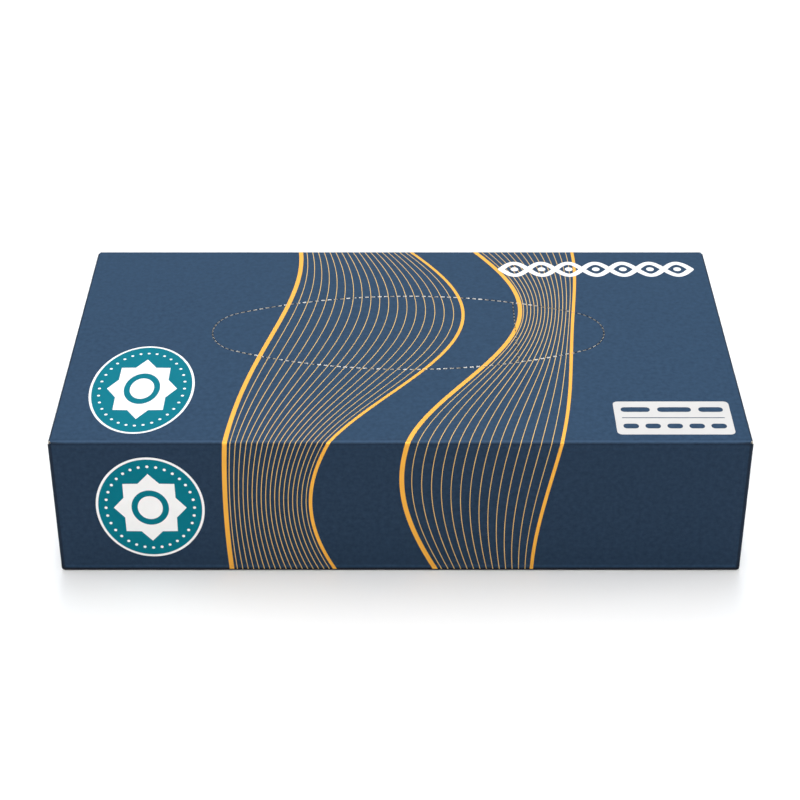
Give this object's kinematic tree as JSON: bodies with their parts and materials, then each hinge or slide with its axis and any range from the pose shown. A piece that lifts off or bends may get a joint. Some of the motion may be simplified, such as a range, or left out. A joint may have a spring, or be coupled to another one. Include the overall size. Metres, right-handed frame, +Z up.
{
  "type": "tissue box",
  "caption": "Flat sealed carton of facial tissues: creased board, perforated oval tear-out with a thumb tab in the top, glued end flaps.",
  "frame": {"origin": "middle of the face that the carton rests on", "axes": "+X along the carton's length, +Y from its front face to its back face, +Z up through the top with the tear-out"},
  "size_m": [0.225, 0.128, 0.051],
  "materials": {
    "printed_board": "navy ink under a satin coating",
    "raw_board": "unprinted pale board, at cut edges and in the perforation",
    "gold_ink": "gold ink under a satin coating",
    "teal_ink": "teal ink under a satin coating",
    "white_ink": "unprinted white coated board"
  },
  "bodies": {
    "root": {"sealed_carton": "printed_board"}
  },
  "joints": []
}
